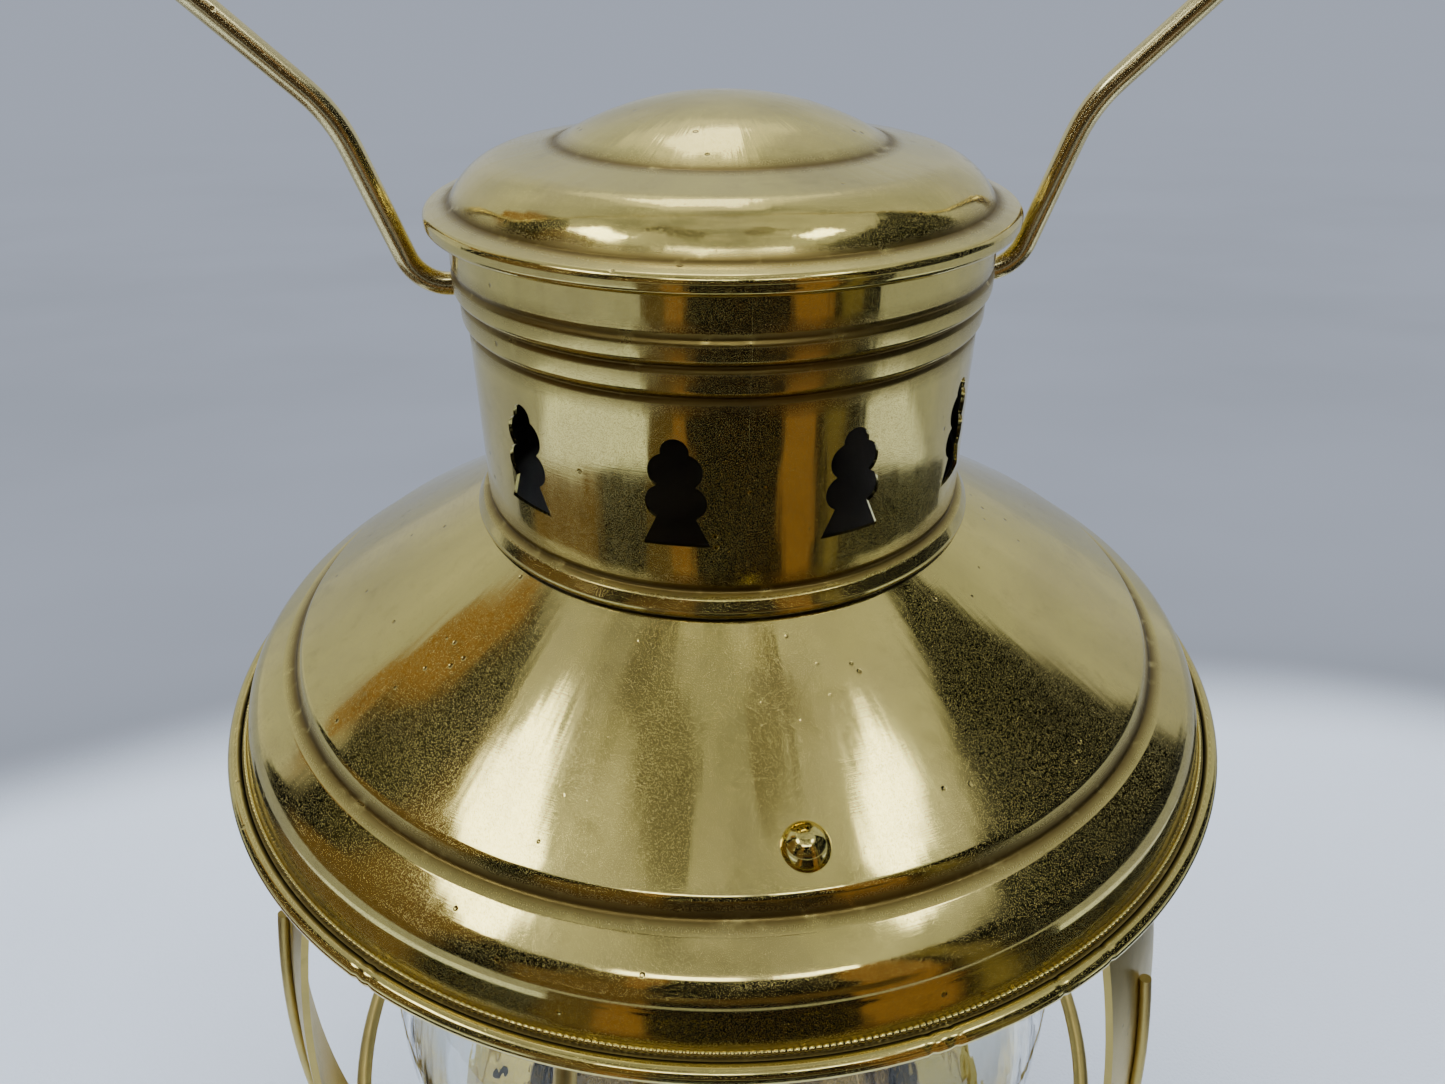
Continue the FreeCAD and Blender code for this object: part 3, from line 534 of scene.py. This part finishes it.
def brass(name, base, dark, rough, stain, swirl=0.5, pits=0.5, age=0.5, anisotropic=0.5):
    """Polished brass: buffing marks, stray scratches, pits, stains, grime in its hollows, and a
    painted near-black shade where the mesh marks it.
    """
    n = Nodes(name)
    where = n.place()
    cloudy = n.noise(where, 34.0, 5.0, 0.62, 0.5)
    blotch = n.noise(where, 150.0, 4.0, 0.6, 0.3)
    rings = polar_noise(n, 2600.0, 2.0)
    streaks = polar_noise(n, 16.0, 15.0, 2.0)
    hairs = stray_scratches(n, 0.00013, 0.011, 0.66, TURNS)
    cuts = stray_scratches(n, 0.0003, 0.02, 0.745, TURNS[:2])
    spots = n.ramp(n.cells(where, 230.0), 0.13, 0.06)
    spots = n.math("MULTIPLY", spots, n.ramp(n.noise(where, 55.0, 1.0), 0.56, 0.61))
    grime = n.node("ShaderNodeAttribute", attribute_name="grime").outputs["Fac"]
    soot = n.node("ShaderNodeAttribute", attribute_name="soot").outputs["Fac"]
    soiled = n.math("MULTIPLY", grime, n.ramp(n.noise(where, 260.0, 3.0), 0.1, 0.45))
    body = n.mix(n.ramp(cloudy, 0.36, 0.70), base, stain)
    body = n.mix(n.math("MULTIPLY", n.ramp(blotch, 0.52, 0.80), 0.30 * age), body, dark)
    body = n.mix(n.math("MULTIPLY", soiled, 0.85), body, dark)
    body = n.mix(n.math("MULTIPLY", spots, 0.8 * pits), body, dark)
    # Painted shade: near-black, and rougher, where the mesh marks it (inner faces of sheets and
    # wire grooves).
    body = n.mix(soot, body, (0.006, 0.005, 0.004))
    haze = n.ramp(cloudy, 0.40, 0.72, rough, rough + 0.07 * age)
    haze = n.math("ADD", haze, n.math("MULTIPLY", n.ramp(streaks, 0.35, 0.7), 0.10 * swirl))
    haze = n.math("ADD", haze, n.math("MULTIPLY", hairs, 0.10))
    haze = n.math("ADD", haze, n.math("MULTIPLY", soiled, 0.30))
    haze = n.math("ADD", haze, n.math("MULTIPLY", soot, 0.50))
    normal = n.bump(rings, 0.000006 * swirl)
    normal = n.bump(streaks, 0.00010 * swirl, normal)
    normal = n.bump(hairs, -0.000006, normal)
    normal = n.bump(cuts, -0.00003, normal)
    normal = n.bump(n.noise(where, 110.0, 2.0), 0.00003 * age, normal)
    normal = n.bump(spots, -0.00010 * pits, normal)
    shader = n.node("ShaderNodeBsdfPrincipled")
    n.put(shader.inputs["Base Color"], body)
    shader.inputs["Metallic"].default_value = 1.0
    n.put(shader.inputs["Roughness"], haze)
    shader.inputs["Anisotropic"].default_value = anisotropic
    tangent = n.node("ShaderNodeTangent", direction_type="RADIAL", axis="Z")
    n.put(shader.inputs["Tangent"], tangent.outputs[0])
    n.put(shader.inputs["Normal"], normal)
    return n.surface(shader.outputs[0])


def glass(name, tint):
    n = Nodes(name)
    where = n.place((160.0, 160.0, 14.0))
    streaks = n.noise(where, 1.0, 2.0)
    dust = n.ramp(n.noise(n.place(), 90.0, 4.0, 0.7), 0.45, 0.8, 0.0, 0.012)
    shader = n.node("ShaderNodeBsdfPrincipled")
    shader.inputs["Base Color"].default_value = colour(tint)
    shader.inputs["Transmission Weight"].default_value = 1.0
    shader.inputs["IOR"].default_value = 1.48
    n.put(shader.inputs["Roughness"], dust)
    n.put(shader.inputs["Normal"], n.bump(streaks, 0.00012))
    return n.surface(shader.outputs[0])


def dull(name, base, other, rough, scale, bump_depth, metallic=0.0):
    n = Nodes(name)
    where = n.place()
    grain = n.noise(where, scale, 5.0, 0.6)
    shader = n.node("ShaderNodeBsdfPrincipled")
    n.put(shader.inputs["Base Color"], n.mix(n.ramp(grain, 0.35, 0.7), base, other))
    shader.inputs["Metallic"].default_value = metallic
    n.put(shader.inputs["Roughness"], n.ramp(grain, 0.3, 0.7, rough, rough + 0.15))
    n.put(shader.inputs["Normal"], n.bump(grain, bump_depth))
    return n.surface(shader.outputs[0])


def woven(name):
    """Cotton wick: ribs along its length crossed by fine threads."""
    n = Nodes(name)
    ribs = n.node("ShaderNodeTexWave", wave_type="BANDS", bands_direction="X")
    n.put(ribs.inputs["Vector"], n.place())
    ribs.inputs["Scale"].default_value = 220.0
    threads = n.node("ShaderNodeTexWave", wave_type="BANDS", bands_direction="Z")
    n.put(threads.inputs["Vector"], n.place())
    threads.inputs["Scale"].default_value = 300.0
    weave = n.math("MULTIPLY", ribs.outputs["Fac"], threads.outputs["Fac"])
    shader = n.node("ShaderNodeBsdfPrincipled")
    n.put(shader.inputs["Base Color"], n.mix(weave, (0.55, 0.50, 0.40), (0.85, 0.82, 0.72)))
    shader.inputs["Roughness"].default_value = 0.9
    n.put(shader.inputs["Normal"], n.bump(weave, 0.0002))
    return n.surface(shader.outputs[0])


POLISHED = brass("polished_brass", (0.82, 0.68, 0.21), (0.14, 0.085, 0.02), 0.045,
                 (0.71, 0.58, 0.20), 0.5, 0.7, 0.6, 0.3)
SATIN = brass("guard_brass", (0.62, 0.48, 0.15), (0.13, 0.085, 0.025), 0.33,
              (0.52, 0.41, 0.14), 0.3, 0.6, 1.0, 0.2)
HANDLE = brass("handle_brass", (0.86, 0.74, 0.36), (0.14, 0.085, 0.02), 0.17,
               (0.74, 0.62, 0.28), 0.0, 0.6, 0.8, 0.2)
# Near-black: painted shade on the parts in the dull_brass slot, rather than a brass colour.
PAINTED_SHADE_BRASS = brass("dull_brass", (0.020, 0.015, 0.009), (0.010, 0.008, 0.005), 0.45,
                   (0.014, 0.010, 0.007), 0.3, 0.5, 1.0, 0.0)
AGED = brass("aged_brass", (0.50, 0.37, 0.13), (0.08, 0.05, 0.02), 0.20,
             (0.30, 0.21, 0.08), 0.4, 0.8, 1.0, 0.0)
GLASS = glass("clear_glass", (0.96, 0.985, 0.98))
SEAL = dull("seal", (0.03, 0.028, 0.026), (0.07, 0.06, 0.05), 0.75, 500.0, 0.0002)
STEEL = dull("steel_wire", (0.42, 0.42, 0.42), (0.30, 0.29, 0.28), 0.3, 400.0, 0.00004, 1.0)
WICK = woven("wick")

SLOT_MATERIALS = {"polished_brass": POLISHED, "guard_brass": SATIN, "dull_brass": PAINTED_SHADE_BRASS,
                  "clear_glass": GLASS, "seal": SEAL, "steel_wire": STEEL, "wick": WICK}

for part in frame["record"]["subparts"]:
    data = frame["nodes"][part["node"]].data
    data.materials.clear()
    data.materials.append(SLOT_MATERIALS[part["material_slot"]])

bodies = frame["record"]["behaviour"]["bodies"]
for node in bodies["lamp"] + bodies["burner"] + bodies["filler"] + ["globe_gallery", "wick_knob"]:
    slots = frame["nodes"][node].data.materials
    if slots[0] == POLISHED:
        slots[0] = AGED


def fit(obj, body, slot, *nodes, look=None):
    """Give a piece its material, body and the CAD nodes that it stands for."""
    obj.data.materials.clear()
    obj.data.materials.append(look or SLOT_MATERIALS[slot])
    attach(obj, body)
    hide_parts(*nodes)


def joined(name, pieces):
    """One object of several meshes."""
    mesh = bpy.data.meshes.new(name)
    bm = bmesh.new()
    for piece in pieces:
        bm.from_mesh(piece.data)
    bm.to_mesh(mesh)
    bm.free()
    for piece in pieces:
        bpy.data.objects.remove(piece)
    smooth(mesh)
    return new_object(name, mesh)


# Nicks in the curl: bearing, half width and depth
NICKS = [(math.radians(a), 0.004, 0.14) for a in (12.0, 14.0, 31.0, -38.0, -36.5, 25.0)]
hood = joined("hood_skin", [
    spun_skin("hood_sheet", HOOD, SHEET, dents=(34.0, 0.12), seed=1.0),
    torus_skin("hood_curl", CURL_RADIUS, CURL_WIRE, RIM_HEIGHT, steps=720, nicks=NICKS,
               groove=CURL_GROOVE),
    torus_skin("hood_chatter", CHATTER_RADIUS, CHATTER_WIRE, RIM_HEIGHT + CHATTER_RISE,
               steps=3600, rounds=12, ribs=CHATTER_RIBS, groove=CHATTER_GROOVE)])
fit(hood, "hood", "polished_brass", "hood_shell")
fit(chimney_skin(), "hood", "polished_brass", "chimney_wall")
cap = spun_skin("cap_skin", CAP, SHEET, dents=(26.0, 0.10), seed=8.0)
fit(cap, "hood", "polished_brass", "cap")
fit(bail_skin(), "bail", "polished_brass", "bail", look=HANDLE)


# Stage

BACKDROP = (0.40, 0.445, 0.545)


def floor():
    """Pale cloth with painted fold shade; behind the lantern it glows a little darker, with
    painted fold shade and a painted shadow line.
    """
    mesh = bpy.data.meshes.new("floor")
    bm = bmesh.new()
    bmesh.ops.create_circle(bm, cap_ends=True, radius=9.0, segments=96)
    bm.to_mesh(mesh)
    bm.free()
    obj = new_object("floor", mesh)
    n = Nodes("floor_cloth")
    split = n.node("ShaderNodeSeparateXYZ")
    n.put(split.inputs[0], n.place())
    x = n.math("MULTIPLY", split.outputs[0], 0.7)
    y = n.math("ADD", split.outputs[1], 0.35)
    reach = n.math("SQRT", n.math("ADD", n.math("MULTIPLY", x, x), n.math("MULTIPLY", y, y)))
    drift = n.math("MULTIPLY", n.noise(n.place((2.0, 2.0, 2.0)), 1.0, 2.0), 0.08)
    edge = n.math("ADD", reach, drift)
    # Painted shade: darker patches where the cloth would fold.
    fold_shade = n.noise(n.place((2.2, 3.6, 1.0)), 1.0, 3.0)
    tone = n.mix(n.ramp(fold_shade, 0.35, 0.75, 0.0, 0.5), (0.74, 0.83, 0.98), (0.65, 0.74, 0.89))
    weave = n.noise(n.place((900.0, 900.0, 900.0)), 1.0, 2.0)
    near = n.node("ShaderNodeBsdfPrincipled")
    n.put(near.inputs["Base Color"], tone)
    near.inputs["Roughness"].default_value = 0.85
    n.put(near.inputs["Normal"], n.bump(weave, 0.0003))
    # Painted shadow: a soft dark line where the lit cloth turns into the glowing far part.
    shadow_line = n.math("MULTIPLY", n.ramp(edge, 0.60, 0.64), n.ramp(edge, 0.72, 0.65))
    # Painted shade from the folds on the glowing far cloth, stronger nearer the lantern.
    far_fold_shade = n.math("MULTIPLY", n.ramp(fold_shade, 0.30, 0.75), n.ramp(reach, 3.0, 0.9))
    shade = n.mix(n.math("MULTIPLY", far_fold_shade, 0.35), BACKDROP, (0.27, 0.30, 0.36))
    shade = n.mix(n.math("MULTIPLY", shadow_line, 0.30), shade, (0.26, 0.28, 0.33))
    far = n.node("ShaderNodeEmission")
    n.put(far.inputs["Color"], shade)
    blend = n.node("ShaderNodeMixShader")
    n.put(blend.inputs[0], n.ramp(edge, 0.60, 0.68))
    n.put(blend.inputs[1], near.outputs[0])
    n.put(blend.inputs[2], far.outputs[0])
    obj.data.materials.append(n.surface(blend.outputs[0]))


def dark_foreground(name, left, right, near, far, height):
    """A dark card on the floor in front, which only reflections see."""
    mesh = bpy.data.meshes.new(name)
    bm = bmesh.new()
    first, last, steps = math.radians(left), math.radians(right), 24
    rows = []
    for reach in (near, far):
        rows.append([bm.verts.new((reach * math.sin(a), -reach * math.cos(a), height))
                     for a in [first + (last - first) * s / steps for s in range(steps + 1)]])
    for corners in zip(rows[0], rows[0][1:], rows[1][1:], rows[1]):
        bm.faces.new(corners)
    bm.to_mesh(mesh)
    bm.free()
    obj = new_object(name, mesh)
    n = Nodes(name)
    split = n.node("ShaderNodeSeparateXYZ")
    n.put(split.inputs[0], n.place())
    bearing = n.math("ARCTAN2", split.outputs[0], n.math("MULTIPLY", split.outputs[1], -1.0))
    light = n.node("ShaderNodeEmission")
    n.put(light.inputs["Color"], room_bands(n, bearing, n.noise(n.place(), 5.0, 3.0)))
    obj.data.materials.append(n.surface(light.outputs[0]))
    obj.visible_camera = False
    obj.visible_diffuse = False
    obj.visible_shadow = False
    obj.visible_transmission = False


def band(n, value, low, high, soft):
    """1 between two angles in degrees, falling softly to 0 outside them."""
    low, high, half = math.radians(low), math.radians(high), math.radians(soft) / 2
    return n.math("MULTIPLY", n.ramp(value, low - half, low + half),
                  n.ramp(value, high + half, high - half))


def room_bands(n, bearing, drift):
    """Dark room with uneven upright bands of brown wood, by bearing in radians."""
    swing = n.math("ADD", bearing, n.math("MULTIPLY", n.math("SUBTRACT", drift, 0.5), 0.25))
    tone = n.mix(band(n, swing, -38, -22, 5), (0.005, 0.006, 0.009), (0.085, 0.060, 0.030))
    tone = n.mix(band(n, swing, -26, -19, 3), tone, (0.24, 0.135, 0.055))
    tone = n.mix(band(n, swing, 21, 36, 3), tone, (0.24, 0.135, 0.055))
    tone = n.mix(band(n, swing, 40, 48, 6), tone, (0.14, 0.12, 0.055))
    tone = n.mix(band(n, swing, -100, -62, 10), tone, (0.13, 0.085, 0.040))
    return tone


def world():
    """Pale studio with a dark room and bright windows in front; the camera sees only pale."""
    made = bpy.data.worlds.new("studio")
    made.use_nodes = True
    bpy.context.scene.world = made
    n = Nodes("world", made.node_tree)
    where = n.node("ShaderNodeTexCoord").outputs["Generated"]
    split = n.node("ShaderNodeSeparateXYZ")
    n.put(split.inputs[0], where)
    x, y, z = split.outputs
    drift = n.noise(where, 3.0, 3.0)
    ragged = n.math("MULTIPLY", n.math("SUBTRACT", n.noise(where, 7.0, 3.0), 0.5), 0.22)
    bearing = n.math("ARCTAN2", x, n.math("MULTIPLY", y, -1.0))
    height = n.math("ARCSINE", z)
    loose_bearing = n.math("ADD", bearing, ragged)
    loose_height = n.math("ADD", height, ragged)

    def patch(left, right, low, high, soft=6.0, loose=False):
        side, rise = (loose_bearing, loose_height) if loose else (bearing, height)
        return n.math("MULTIPLY", band(n, side, left, right, soft), band(n, rise, low, high, soft))

    cloth = n.mix(n.ramp(drift, 0.3, 0.7), (0.46, 0.50, 0.54), (0.60, 0.64, 0.70))
    ceiling = n.mix(n.ramp(drift, 0.35, 0.6), (0.26, 0.28, 0.30), (0.54, 0.57, 0.60))
    tone = n.mix(n.ramp(height, math.radians(54), math.radians(66)), cloth, ceiling)
    room = room_bands(n, bearing, drift)
    tone = n.mix(patch(-113, 112, -6, 51, 5, True), tone, room)
    tone = n.mix(patch(-36, 58, -90, 0, 4), tone, room)
    tone = n.mix(patch(-45, -18, -5, 30, 5, True), tone, (0.11, 0.070, 0.032))
    tone = n.mix(patch(-18, 30, 8, 18, 5, True), tone, (0.07, 0.047, 0.024))
    tone = n.mix(patch(92, 112, 18, 48, 4, True), tone, (0.004, 0.004, 0.004))
    tone = n.mix(patch(-117, -98, 30, 49, 4, True), tone, (0.022, 0.022, 0.016))
    tone = n.mix(patch(-124, -114, 22, 46, 4, True), tone, (0.26, 0.15, 0.05))
    tone = n.mix(patch(-85, -20, 68, 78, 5, True), tone, (0.13, 0.13, 0.115))
    tone = n.mix(patch(20, 62, 73, 80, 5, True), tone, (0.17, 0.165, 0.145))
    for left, right, low, high in ((-94, -66, 49, 59), (50, 76, 57, 64), (-34, 2, 51, 56),
                                   (10, 30, 50, 55)):
        window = patch(left, right, low, high, 2)
        tone = n.mix(window, tone, (7.0, 7.4, 7.8))
    for left, right in ((160, 200), (-200, -160)):
        tone = n.mix(patch(left, right, 38, 68, 6, True), tone, (0.95, 0.98, 1.0))
        tone = n.mix(patch(left + 8, right - 8, 45, 61, 3, True), tone, (3.0, 3.1, 3.2))
    back = n.node("ShaderNodeBackground")
    n.put(back.inputs["Color"], tone)
    plain = n.node("ShaderNodeBackground")
    plain.inputs["Color"].default_value = colour(BACKDROP)
    switch = n.node("ShaderNodeMixShader")
    n.put(switch.inputs[0], n.node("ShaderNodeLightPath").outputs["Is Camera Ray"])
    n.put(switch.inputs[1], back.outputs[0])
    n.put(switch.inputs[2], plain.outputs[0])
    out = n.node("ShaderNodeOutputWorld")
    n.tree.links.new(switch.outputs[0], out.inputs["Surface"])


def soft_light(name, size, place, target, power, tint=(1, 1, 1)):
    light = bpy.data.lights.new(name, "AREA")
    light.shape = "RECTANGLE"
    light.size, light.size_y = size
    light.energy = power
    light.color = tint
    obj = bpy.data.objects.new(name, light)
    bpy.context.scene.collection.objects.link(obj)
    obj.location = place
    obj.rotation_euler = (Vector(target) - Vector(place)).to_track_quat("-Z", "Y").to_euler()
    obj.visible_glossy = False


def camera():
    """Close wide view, looking down on the hood from the front."""
    data = bpy.data.cameras.new("camera")
    data.sensor_width = SENSOR_WIDTH
    data.lens = FOCAL_LENGTH
    data.clip_start = 0.01
    obj = bpy.data.objects.new("camera", data)
    bpy.context.scene.collection.objects.link(obj)
    turn, pitch = CAMERA_TURN, CAMERA_PITCH
    obj.location = Vector((CAMERA_DISTANCE * math.sin(turn), -CAMERA_DISTANCE * math.cos(turn),
                           RIM_HEIGHT + CAMERA_RISE)) * MM
    look = Vector((-math.sin(turn) * math.cos(pitch), math.cos(turn) * math.cos(pitch),
                   -math.sin(pitch)))
    obj.rotation_euler = look.to_track_quat("-Z", "Y").to_euler()
    bpy.context.scene.camera = obj


camera()
floor()
dark_foreground("dark_card", -36, 58, 0.34, 2.6, 0.004)
dark_foreground("near_card", -115, 115, 0.27, 0.60, 0.003)
world()
soft_light("overhead", (1.6, 0.5), (0.0, 0.35, 1.7), (0, 0, 0.2), 24.0)
soft_light("left_window", (0.8, 1.2), (-1.8, -0.2, 1.2), (0, 0, 0.2), 15.5, (0.93, 0.97, 1.0))
soft_light("right_window", (0.8, 1.2), (1.8, 0.1, 1.2), (0, 0, 0.2), 11.0, (1.0, 0.97, 0.93))
